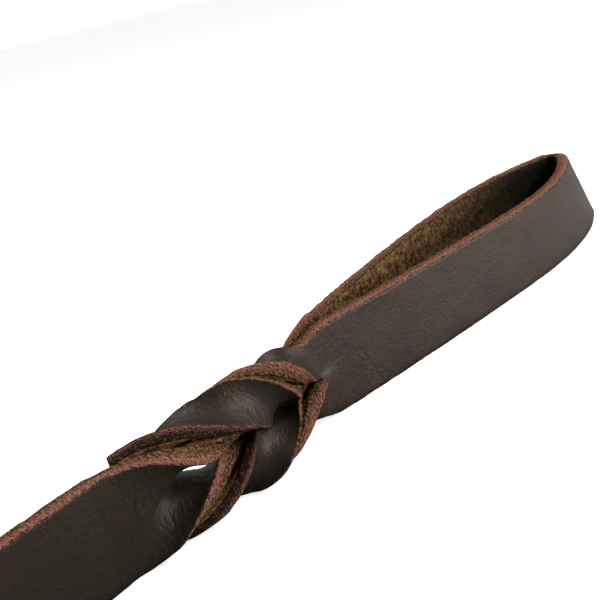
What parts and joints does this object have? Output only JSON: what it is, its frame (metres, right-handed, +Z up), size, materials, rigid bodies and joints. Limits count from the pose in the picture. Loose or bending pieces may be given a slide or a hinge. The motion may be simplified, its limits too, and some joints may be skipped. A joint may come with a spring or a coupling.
{
  "type": "training leash",
  "caption": "Thick leather training leash: hand loop and snap loop each pulled once through a lengthwise slit, with a swivel bolt snap.",
  "frame": {"origin": "the throat of the handle, where the hand loop leaves the braid, on the floor under the middle of the doubled strap", "axes": "+X from the throat along the hand loop and also along the snap, +Z up across the strap's width, +Y to the far side of the hand loop"},
  "size_m": [0.5841, 0.2644, 0.025],
  "materials": {
    "strap_leather": "dark brown, waxed full-grain leather with fine creases, raw reddish cut edges and a golden brown flesh side",
    "tail_leather": "the same strap's doubled end, dark grain outside and golden brown flesh side inside",
    "snap_metal": "cast brass, tumbled smooth and handled to a soft shine",
    "steel_parts": "plain spring steel"
  },
  "bodies": {
    "handle_run": {"handle_upper_leg_strap": "strap_leather", "handle_upper_leg_tail": "strap_leather", "handle_lower_leg_strap": "strap_leather", "handle_lower_leg_tail": "strap_leather", "handle_tail_end": "tail_leather", "strap_run_1": "strap_leather"},
    "hand_loop": {"hand_loop": "strap_leather"},
    "middle_run": {"strap_run_2": "strap_leather"},
    "return_run": {"strap_run_3": "strap_leather"},
    "snap_run": {"strap_run_4": "strap_leather", "snap_tail_end": "tail_leather", "snap_upper_leg_strap": "strap_leather", "snap_upper_leg_tail": "strap_leather", "snap_lower_leg_strap": "strap_leather", "snap_lower_leg_tail": "strap_leather", "snap_loop": "strap_leather"},
    "swivel_eye": {"snap_swivel_eye": "snap_metal", "snap_swivel_washer": "steel_parts"},
    "snap_hook": {"snap_hook_body": "snap_metal", "snap_barrel_plug": "steel_parts", "snap_bolt_spring": "steel_parts"},
    "gate_bolt": {"snap_gate_bolt": "snap_metal", "snap_thumb_stud": "snap_metal"}
  },
  "joints": [
    {"name": "hand_loop_flex", "type": "hinge", "parent": "handle_run", "child": "hand_loop", "pos_m": [0, 0, 0.0125], "axis": [0, 0, 1], "range_deg": [-15, 20], "stiffness_Nm_per_rad": 0.05},
    {"name": "strap_flex_1", "type": "hinge", "parent": "handle_run", "child": "middle_run", "pos_m": [-0.19795, -0.02897, 0.0125], "axis": [0, 0, 1], "range_deg": [-30, 2], "stiffness_Nm_per_rad": 0.05},
    {"name": "strap_flex_2", "type": "hinge", "parent": "middle_run", "child": "return_run", "pos_m": [-0.41384, -0.0964, 0.0125], "axis": [0, 0, 1], "range_deg": [-60, 5], "stiffness_Nm_per_rad": 0.05},
    {"name": "strap_flex_3", "type": "hinge", "parent": "return_run", "child": "snap_run", "pos_m": [-0.23632, -0.19558, 0.0125], "axis": [0, 0, 1], "range_deg": [-45, 5], "stiffness_Nm_per_rad": 0.05},
    {"name": "eye_swing", "type": "hinge", "parent": "snap_run", "child": "swivel_eye", "pos_m": [0.06697, -0.21473, 0.0125], "axis": [0, 0, 1], "range_deg": [-55, 55]},
    {"name": "swivel_turn", "type": "hinge", "parent": "swivel_eye", "child": "snap_hook", "pos_m": [0.08797, -0.21473, 0.0125], "axis": [1, 0, 0], "continuous": true},
    {"name": "bolt_slide", "type": "slide", "parent": "snap_hook", "child": "gate_bolt", "axis": [-1, 0, 0], "range_m": [0, 0.009], "stiffness_N_per_m": 400, "deforming": ["snap_bolt_spring"]}
  ]
}
